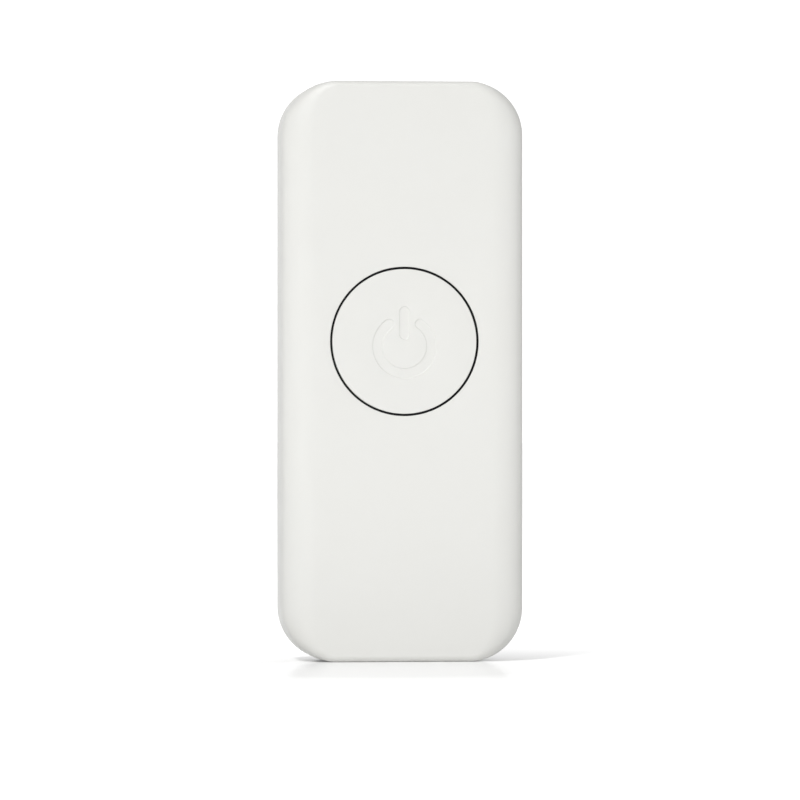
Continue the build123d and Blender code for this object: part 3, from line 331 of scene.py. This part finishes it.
def make_disc():
    """The disc: a shallow dish that opens to the back, with the mark sunk in its face."""
    edge, wall, chamfer, root, back = 1.6 * MM, 2.5 * MM, 0.4 * MM, 1 * MM, -disc_high.y
    section = [(DISC_R - inward, DEPTH - deep) for inward, deep in quarter_round(edge, 8)]
    section += [
        (DISC_R, back + chamfer),
        (DISC_R - chamfer, back),
        (DISC_R - wall, back),
        (DISC_R - wall, DEPTH - SKIN - root),
        (DISC_R - wall - root, DEPTH - SKIN),
    ]
    shape = Rings()
    rim = [shape.ring(circle(radius, distance)) for radius, distance in section]
    shape.join(rim)
    shape.fill(rim[-1])
    tops = []
    for form in (slot_ring, slot_bar):
        levels = [shape.ring(form(half_width, DEPTH - deep)) for half_width, deep in sunk_profile()]
        shape.join(levels)
        shape.fill(levels[-1])
        tops.append(levels[0])
    shape.fill(rim[0], *tops)
    disc = mesh_piece("disc_face", shape, "disc", ["press_disc"])
    smooth(disc, SOFT_CREASE)
    return disc


# ---------------------------------------------------------------- springs of the disc
SPRING_PLACES, SPRING_SPREAD = 3, 100 * MM
COIL_R, WIRE_R = 11 * MM, 0.75 * MM
COIL_STEPS, WIRE_STEPS = 32, 10
# (turns from the fixed end, distance along the spring) pairs: the end turns are closed, the rest open
COIL_TURNS = ((0, 0), (1, 1.5 * MM), (3, 6.0 * MM), (4, 7.5 * MM))


def along_spring(turns):
    """How far from the fixed end the wire has come after some turns."""
    for (first, low), (last, high) in zip(COIL_TURNS, COIL_TURNS[1:]):
        if turns <= last:
            return low + (high - low) * (turns - first) / (last - first)
    return COIL_TURNS[-1][1]


def make_springs():
    """Three compression springs behind the disc, held to the unit's body."""
    low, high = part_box("disc_springs")
    fixed_end, length = high.y, high.y - low.y
    sides = [2 * pi * k / WIRE_STEPS for k in range(WIRE_STEPS)]
    shape = Rings()
    for number in range(SPRING_PLACES):
        t = pi / 2 + 2 * pi * number / SPRING_PLACES
        centre = Vector((SPRING_SPREAD * cos(t), fixed_end - WIRE_R, DISC_Z + SPRING_SPREAD * sin(t)))
        wire = []
        for step in range(COIL_TURNS[-1][0] * COIL_STEPS + 1):
            turns = step / COIL_STEPS
            out = Vector((cos(2 * pi * turns), 0, sin(2 * pi * turns)))
            middle = centre + COIL_R * out - Vector((0, along_spring(turns), 0))
            section = [middle + WIRE_R * (cos(s) * out + Vector((0, sin(s), 0))) for s in sides]
            wire.append(shape.ring(section))
        shape.join(wire)
        shape.fill(wire[0])
        shape.fill(wire[-1])
    springs = mesh_piece("spring_coils", shape, "unit", ["disc_springs"])
    smooth(springs, SOFT_CREASE)
    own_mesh(springs)
    return springs


# ---------------------------------------------------------------- materials
class Shader:
    """A material whose colour, roughness and relief come from procedural textures in object coordinates."""

    def __init__(self, name, colour, rough, metallic=0.0):
        self.material = bpy.data.materials.new(name)
        self.material.use_nodes = True
        self.nodes = self.material.node_tree.nodes
        self.links = self.material.node_tree.links
        self.bsdf = self.nodes["Principled BSDF"]
        self.bsdf.inputs["Base Color"].default_value = (*colour, 1)
        self.bsdf.inputs["Roughness"].default_value = rough
        self.bsdf.inputs["Metallic"].default_value = metallic
        self.place = self.nodes.new("ShaderNodeTexCoord").outputs["Object"]
        self.colour = colour
        self.relief = None

    def stretched(self, scale):
        """Object coordinates scaled along each axis."""
        mapping = self.nodes.new("ShaderNodeMapping")
        mapping.inputs["Scale"].default_value = scale
        self.links.new(self.place, mapping.inputs["Vector"])
        return mapping.outputs["Vector"]

    def noise(self, scale, detail=3.0, roughness=0.5, stretch=None):
        node = self.nodes.new("ShaderNodeTexNoise")
        node.inputs["Scale"].default_value = scale
        node.inputs["Detail"].default_value = detail
        node.inputs["Roughness"].default_value = roughness
        self.links.new(self.stretched(stretch) if stretch else self.place, node.inputs["Vector"])
        return node.outputs["Fac"]

    def cells(self, scale):
        node = self.nodes.new("ShaderNodeTexVoronoi")
        node.inputs["Scale"].default_value = scale
        self.links.new(self.place, node.inputs["Vector"])
        return node.outputs["Distance"]

    def levels(self, value, low, high, to_low, to_high):
        """value moved from one range to another, and held within it."""
        node = self.nodes.new("ShaderNodeMapRange")
        for name, number in (("From Min", low), ("From Max", high), ("To Min", to_low), ("To Max", to_high)):
            node.inputs[name].default_value = number
        self.links.new(value, node.inputs["Value"])
        return node.outputs["Result"]

    def tint(self, value, other, amount):
        """Mixes another colour in, by a texture value times an amount."""
        node = self.nodes.new("ShaderNodeMix")
        node.data_type = "RGBA"
        current = self.bsdf.inputs["Base Color"]
        if current.is_linked:
            self.links.new(current.links[0].from_socket, node.inputs["A"])
        else:
            node.inputs["A"].default_value = (*self.colour, 1)
        node.inputs["B"].default_value = (*other, 1)
        self.links.new(self.levels(value, 0, 1, 0, amount), node.inputs["Factor"])
        self.links.new(node.outputs["Result"], current)

    def gloss(self, value, rough_low, rough_high):
        """Roughness that follows a texture value."""
        rough = self.levels(value, 0.3, 0.7, rough_low, rough_high)
        self.links.new(rough, self.bsdf.inputs["Roughness"])

    def bump(self, value, height):
        """Relief of a real height in metres."""
        node = self.nodes.new("ShaderNodeBump")
        node.inputs["Distance"].default_value = height
        self.links.new(value, node.inputs["Height"])
        if self.relief is not None:
            self.links.new(self.relief, node.inputs["Normal"])
        self.relief = node.outputs["Normal"]
        self.links.new(self.relief, self.bsdf.inputs["Normal"])

    def set(self, **values):
        for name, value in values.items():
            self.bsdf.inputs[name.replace("_", " ")].default_value = value


def satin_white(name, colour, rough, peel):
    """Painted or moulded white, with faint orange peel and hardly visible clouds of tone."""
    shader = Shader(name, colour, rough)
    warm = tuple(channel * factor for channel, factor in zip(colour, (0.985, 0.975, 0.955)))
    shader.tint(shader.noise(6, 4), warm, 0.5)
    shader.gloss(shader.noise(14, 5), rough - 0.03, rough + 0.04)
    shader.bump(shader.noise(420, 2), peel)
    shader.bump(shader.noise(2600, 1), peel * 0.25)
    shader.set(Specular_IOR_Level=0.5)
    return shader


def moulded(name, colour, rough, grain=1400):
    """Spark-textured moulded plastic, paler where it has been handled."""
    shader = Shader(name, colour, rough)
    paler = tuple(min(1.0, channel * 1.5 + 0.01) for channel in colour)
    shader.tint(shader.noise(30, 5, 0.6), paler, 0.35)
    shader.gloss(shader.noise(60, 4), rough - 0.08, rough + 0.08)
    shader.bump(shader.noise(grain, 2), 0.00006)
    return shader


def rubbery(name, colour):
    """Soft rubber with a bloom of dust."""
    shader = Shader(name, colour, 0.8)
    shader.tint(shader.noise(120, 6, 0.65), (0.09, 0.088, 0.085), 0.45)
    shader.gloss(shader.noise(50, 3), 0.7, 0.92)
    shader.bump(shader.noise(900, 3), 0.00008)
    shader.set(Specular_IOR_Level=0.3)
    return shader


def streaked_metal(name, colour, rough, along=(1, 1, 0.04)):
    """Rolled or brushed metal with fine streaks along one axis."""
    shader = Shader(name, colour, rough, 1.0)
    dull = tuple(channel * 0.72 for channel in colour)
    shader.tint(shader.noise(900, 3, 0.6, along), dull, 0.6)
    shader.tint(shader.noise(18, 4), dull, 0.25)
    shader.gloss(shader.noise(700, 2, 0.5, along), rough - 0.08, rough + 0.12)
    shader.bump(shader.noise(1500, 2, 0.5, along), 0.00003)
    return shader


def plated_steel(name, colour):
    """Zinc-plated steel with a faint spangle."""
    shader = Shader(name, colour, 0.35, 1.0)
    shader.tint(shader.cells(260), (0.42, 0.43, 0.45), 0.5)
    shader.tint(shader.noise(40, 5), (0.72, 0.68, 0.55), 0.25)
    shader.gloss(shader.noise(90, 4), 0.25, 0.48)
    shader.bump(shader.noise(1200, 2), 0.00003)
    return shader


def tarnished(name, colour, stain):
    """Copper or brass with darker stains."""
    rough = 0.32
    shader = Shader(name, colour, rough, 1.0)
    shader.tint(shader.noise(70, 6, 0.6), stain, 0.55)
    shader.tint(shader.noise(900, 2, 0.5, (1, 1, 0.1)), tuple(c * 0.75 for c in colour), 0.4)
    shader.gloss(shader.noise(55, 5), rough - 0.1, rough + 0.15)
    shader.bump(shader.noise(1300, 2), 0.00003)
    return shader


def circuit(name, colour):
    """Solder mask over copper tracks, with pads showing through."""
    shader = Shader(name, colour, 0.32)
    tracks = shader.nodes.new("ShaderNodeTexBrick")
    tracks.inputs["Scale"].default_value = 60
    tracks.inputs["Mortar Size"].default_value = 0.035
    tracks.inputs["Color1"].default_value = (1, 1, 1, 1)
    tracks.inputs["Color2"].default_value = (1, 1, 1, 1)
    tracks.inputs["Mortar"].default_value = (0, 0, 0, 1)
    swing = shader.nodes.new("ShaderNodeVectorRotate")
    swing.rotation_type = "X_AXIS"
    swing.inputs["Angle"].default_value = pi / 2
    shader.links.new(shader.place, swing.inputs["Vector"])
    shader.links.new(swing.outputs["Vector"], tracks.inputs["Vector"])
    shader.tint(shader.levels(tracks.outputs["Color"], 0, 1, 1, 0), (0.06, 0.30, 0.12), 0.9)
    pads = shader.levels(shader.cells(190), 0.10, 0.14, 1, 0)
    shader.tint(pads, (0.75, 0.62, 0.32), 1.0)
    shader.gloss(shader.noise(80, 3), 0.25, 0.4)
    shader.bump(shader.levels(tracks.outputs["Color"], 0, 1, 1, 0), 0.00004)
    return shader


def film(name, colour):
    """Heat-shrunk film over a can: glossy, with faint draw lines and scuffs."""
    shader = Shader(name, colour, 0.3)
    shader.tint(shader.noise(25, 5, 0.55, (1, 1, 3)), tuple(c * 1.7 + 0.01 for c in colour), 0.45)
    shader.tint(shader.levels(shader.noise(260, 6, 0.7), 0.62, 0.75, 0, 1), (0.35, 0.42, 0.55), 0.3)
    shader.gloss(shader.noise(40, 4), 0.22, 0.42)
    shader.bump(shader.noise(60, 3, 0.5, (0.4, 1, 2)), 0.00025)
    shader.set(Coat_Weight=0.3, Coat_Roughness=0.15)
    return shader


def flaky(name, colour):
    """Pressed mica: pale flakes that overlap."""
    shader = Shader(name, colour, 0.45)
    shader.tint(shader.cells(330), (0.42, 0.36, 0.25), 0.7)
    shader.tint(shader.noise(150, 5), (0.82, 0.78, 0.66), 0.5)
    shader.gloss(shader.cells(240), 0.3, 0.6)
    shader.bump(shader.cells(330), 0.0001)
    return shader


def foamed(name, colour):
    """Closed-cell foam mat."""
    shader = Shader(name, colour, 0.9)
    shader.tint(shader.cells(700), tuple(c * 0.45 for c in colour), 0.8)
    shader.gloss(shader.noise(200, 3), 0.8, 0.98)
    shader.bump(shader.cells(700), 0.0004)
    shader.set(Sheen_Weight=0.2)
    return shader


def speckled(name, colour):
    """Unglazed ceramic with fine specks."""
    shader = Shader(name, colour, 0.6)
    shader.tint(shader.levels(shader.noise(1400, 3, 0.7), 0.6, 0.7, 0, 1), (0.45, 0.40, 0.32), 0.6)
    shader.gloss(shader.noise(90, 3), 0.5, 0.7)
    shader.bump(shader.noise(1200, 3), 0.00005)
    return shader


def smoked(name, colour):
    """Smoked light guide: nearly black, satin and slightly milky."""
    shader = Shader(name, colour, 0.3)
    shader.tint(shader.noise(90, 4), (0.03, 0.03, 0.034), 0.4)
    shader.gloss(shader.noise(150, 3), 0.24, 0.38)
    shader.bump(shader.noise(800, 2), 0.00002)
    shader.set(Specular_IOR_Level=0.25)
    return shader


def phosphor(name, colour):
    """An unlit LED: a pale package with a yellow window."""
    shader = Shader(name, colour, 0.3)
    shader.tint(shader.levels(shader.noise(500, 2), 0.45, 0.6, 0, 1), (0.85, 0.70, 0.18), 0.8)
    shader.gloss(shader.noise(400, 2), 0.2, 0.4)
    return shader


def insulated(name, colour):
    """Glossy insulation on a lead, with extrusion lines."""
    shader = Shader(name, colour, 0.35)
    shader.tint(shader.noise(80, 4), tuple(c * 0.6 for c in colour), 0.5)
    shader.gloss(shader.noise(120, 4), 0.28, 0.45)
    shader.bump(shader.noise(700, 2, 0.5, (1, 1, 0.2)), 0.00004)
    return shader


def powder_coat(name, colour):
    """Textured powder coat over steel, worn a little paler in places."""
    rough = 0.55
    shader = Shader(name, colour, rough)
    shader.tint(shader.noise(25, 5), tuple(min(1, c * 1.3 + 0.02) for c in colour), 0.35)
    shader.tint(shader.levels(shader.noise(1100, 2), 0.62, 0.72, 0, 1), tuple(c * 0.6 for c in colour), 0.5)
    shader.gloss(shader.noise(160, 4), rough - 0.08, rough + 0.12)
    shader.bump(shader.noise(620, 3), 0.00012)
    return shader


WHITE = (0.59, 0.591, 0.572)
FINISHES = {
    "cover_white": (satin_white, WHITE, 0.46, 0.000012),
    "disc_white": (satin_white, WHITE, 0.44, 0.000010),
    "housing_white": (satin_white, (0.57, 0.572, 0.554), 0.42, 0.00003),
    "black_rubber": (rubbery, (0.02, 0.02, 0.021)),
    "black_plastic": (moulded, (0.022, 0.022, 0.024), 0.5),
    "grey_plastic": (moulded, (0.28, 0.29, 0.30), 0.5),
    "white_nylon": (moulded, (0.74, 0.73, 0.68), 0.45),
    "zinc_steel": (plated_steel, (0.66, 0.66, 0.64)),
    "spring_steel": (streaked_metal, (0.45, 0.45, 0.46), 0.3, (1, 1, 1)),
    "brass": (tarnished, (0.80, 0.60, 0.28), (0.42, 0.28, 0.12)),
    "smoked_diffuser": (smoked, (0.008, 0.008, 0.010)),
    "circuit_green": (circuit, (0.012, 0.11, 0.045)),
    "led_package": (phosphor, (0.84, 0.83, 0.76)),
    "cell_blue": (film, (0.02, 0.10, 0.36)),
    "bare_aluminium": (streaked_metal, (0.78, 0.79, 0.80), 0.36),
    "copper": (tarnished, (0.86, 0.46, 0.30), (0.40, 0.17, 0.10)),
    "mica_sheet": (flaky, (0.66, 0.59, 0.44)),
    "foam_mat": (foamed, (0.24, 0.25, 0.26)),
    "fuse_ceramic": (speckled, (0.84, 0.82, 0.75)),
    "component_black": (moulded, (0.018, 0.018, 0.02), 0.34, 1900),
    "lead_red": (insulated, (0.55, 0.015, 0.012)),
    "lead_black": (insulated, (0.015, 0.015, 0.016)),
    "terminal_grey": (moulded, (0.33, 0.34, 0.35), 0.48),
    "knob_grey": (moulded, (0.05, 0.05, 0.055), 0.36, 1700),
    "bracket_coat": (powder_coat, (0.36, 0.37, 0.38)),
}
MATERIALS = {slot: maker(slot, *look).material for slot, (maker, *look) in FINISHES.items()}


def dress(piece, slot):
    """Gives a piece the material of a slot."""
    piece.data.materials.clear()
    piece.data.materials.append(MATERIALS[slot])


def dress_cad_nodes():
    """Every CAD node takes the material of its slot in the record."""
    for part in frame["record"]["subparts"]:
        dress(frame["nodes"][part["node"]], part["material_slot"])


dress_cad_nodes()
for made in (make_cover(), make_cover_lip()):
    dress(made, "cover_white")
dress(make_disc(), "disc_white")
dress(make_springs(), "spring_steel")
dress(make_cover_bosses(), "cover_white")


# ---------------------------------------------------------------- stage
FLOOR_R, FLOOR_STEPS = 60.0, 96
FLOOR_WHITE, FLOOR_POLISH, FLOOR_ROUGH = 0.85, 0.3, 0.12
# the floor glows with the distance from a point just in front of the unit, where the lamps reach it less
GLOW_CENTRE = (-0.1, -0.45, FOOT_Z)
GLOW = {"From Min": 0.35, "From Max": 1.15, "To Min": 0.05, "To Max": 0.46}


def floor_material():
    """White, slightly polished, and glowing a little far from the unit."""
    material = bpy.data.materials.new("floor_white")
    material.use_nodes = True
    nodes, links = material.node_tree.nodes, material.node_tree.links
    nodes.clear()
    diffuse = nodes.new("ShaderNodeBsdfDiffuse")
    diffuse.inputs["Color"].default_value = (FLOOR_WHITE, FLOOR_WHITE, FLOOR_WHITE, 1)
    polish = nodes.new("ShaderNodeBsdfGlossy")
    polish.inputs["Color"].default_value = (1, 1, 1, 1)
    polish.inputs["Roughness"].default_value = FLOOR_ROUGH
    mix = nodes.new("ShaderNodeMixShader")
    mix.inputs["Fac"].default_value = FLOOR_POLISH
    away = nodes.new("ShaderNodeVectorMath")
    away.operation = "DISTANCE"
    away.inputs[1].default_value = GLOW_CENTRE
    links.new(nodes.new("ShaderNodeTexCoord").outputs["Object"], away.inputs[0])
    glow = nodes.new("ShaderNodeMapRange")
    for name, value in GLOW.items():
        glow.inputs[name].default_value = value
    links.new(away.outputs["Value"], glow.inputs["Value"])
    emission = nodes.new("ShaderNodeEmission")
    links.new(glow.outputs["Result"], emission.inputs["Strength"])
    together = nodes.new("ShaderNodeAddShader")
    output = nodes.new("ShaderNodeOutputMaterial")
    links.new(diffuse.outputs[0], mix.inputs[1])
    links.new(polish.outputs[0], mix.inputs[2])
    links.new(mix.outputs[0], together.inputs[0])
    links.new(emission.outputs[0], together.inputs[1])
    links.new(together.outputs[0], output.inputs["Surface"])
    return material


def make_floor():
    """A plain round floor at the unit's foot, out to the horizon."""
    turns = [2 * pi * k / FLOOR_STEPS for k in range(FLOOR_STEPS)]
    points = [(FLOOR_R * cos(t), FLOOR_R * sin(t), FOOT_Z) for t in turns]
    mesh = bpy.data.meshes.new("floor")
    mesh.from_pydata(points, [], [tuple(range(FLOOR_STEPS))])
    mesh.materials.append(floor_material())
    floor = bpy.data.objects.new("floor", mesh)
    bpy.context.scene.collection.objects.link(floor)


def make_world(levels, brightest):
    """Soft surroundings. levels are (direction's Y, brightness as a share of the brightest) pairs."""
    world = bpy.data.worlds.new("studio")
    world.use_nodes = True
    nodes, links = world.node_tree.nodes, world.node_tree.links
    direction = nodes.new("ShaderNodeSeparateXYZ")
    links.new(nodes.new("ShaderNodeTexCoord").outputs["Generated"], direction.inputs["Vector"])
    along = nodes.new("ShaderNodeMapRange")
    along.inputs["From Min"].default_value = -1
    links.new(direction.outputs["Y"], along.inputs["Value"])
    ramp = nodes.new("ShaderNodeValToRGB")
    while len(ramp.color_ramp.elements) < len(levels):
        ramp.color_ramp.elements.new(0.5)
    for element, (y, level) in zip(ramp.color_ramp.elements, levels):
        element.position = (y + 1) / 2
        element.color = (level, level, level, 1)
    links.new(along.outputs["Result"], ramp.inputs["Fac"])
    links.new(ramp.outputs["Color"], nodes["Background"].inputs["Color"])
    nodes["Background"].inputs["Strength"].default_value = brightest
    bpy.context.scene.world = world


def make_light(name, place, aim, size, power):
    """A soft box that faces a point."""
    lamp = bpy.data.lights.new(name, "AREA")
    lamp.shape = "RECTANGLE"
    lamp.size, lamp.size_y = size
    lamp.energy = power
    light = bpy.data.objects.new(name, lamp)
    light.location = place
    light.rotation_mode = "QUATERNION"
    light.rotation_quaternion = (Vector(aim) - Vector(place)).to_track_quat("-Z", "Y")
    bpy.context.scene.collection.objects.link(light)


def make_camera(azimuth, distance, height, wide):
    """A long lens at the unit's front, level. wide is how much the picture takes in at the unit."""
    data = bpy.data.cameras.new("camera")
    data.sensor_width = SENSOR
    data.lens = SENSOR * distance / wide
    data.clip_end = CLIP_END
    camera = bpy.data.objects.new("camera", data)
    turn = radians(azimuth)
    aim = Vector((0, -DEPTH / 2, height))
    camera.location = aim + distance * Vector((sin(turn), -cos(turn), 0))
    camera.rotation_mode = "QUATERNION"
    camera.rotation_quaternion = (aim - camera.location).to_track_quat("-Z", "Y")
    bpy.context.scene.collection.objects.link(camera)
    bpy.context.scene.camera = camera


# (direction's Y, brightness) pairs: darker towards the room, bright behind the unit
SKY = ((-1, 0.40), (-0.3, 0.38), (0.2, 0.34), (0.85, 0.42), (0.95, 1.0))
SKY_STRENGTH = 1.15
# name, place, aim, size and power of each soft box
LIGHTS = (
    ("key", (-6.4, -10.4, 12.0), (0, -0.1, 0), (3.0, 3.0), 1900),
    ("top", (-0.2, -0.2, 5.0), (0, -0.1, 0), (3.0, 3.0), 20),
    ("right_fill", (6.0, -5.0, 0.4), (0, -0.1, 0), (4.0, 2.0), 62),
    ("low_fill", (-0.2, -1.5, -0.42), (0, -0.1, -0.5), (1.6, 0.2), 2.8),
    ("rim", (-4.0, 2.2, 0.2), (0, 0, 0), (1.5, 2.0), 5),
)
SENSOR, CLIP_END = 36.0, 200.0  # the camera's sensor in mm, and how far it sees in metres

make_floor()
make_world(SKY, SKY_STRENGTH)
for soft_box in LIGHTS:
    make_light(*soft_box)
make_camera(azimuth=-6.0, distance=12.0, height=-59 * MM, wide=1.664)
bpy.context.scene.view_settings.view_transform = "Standard"
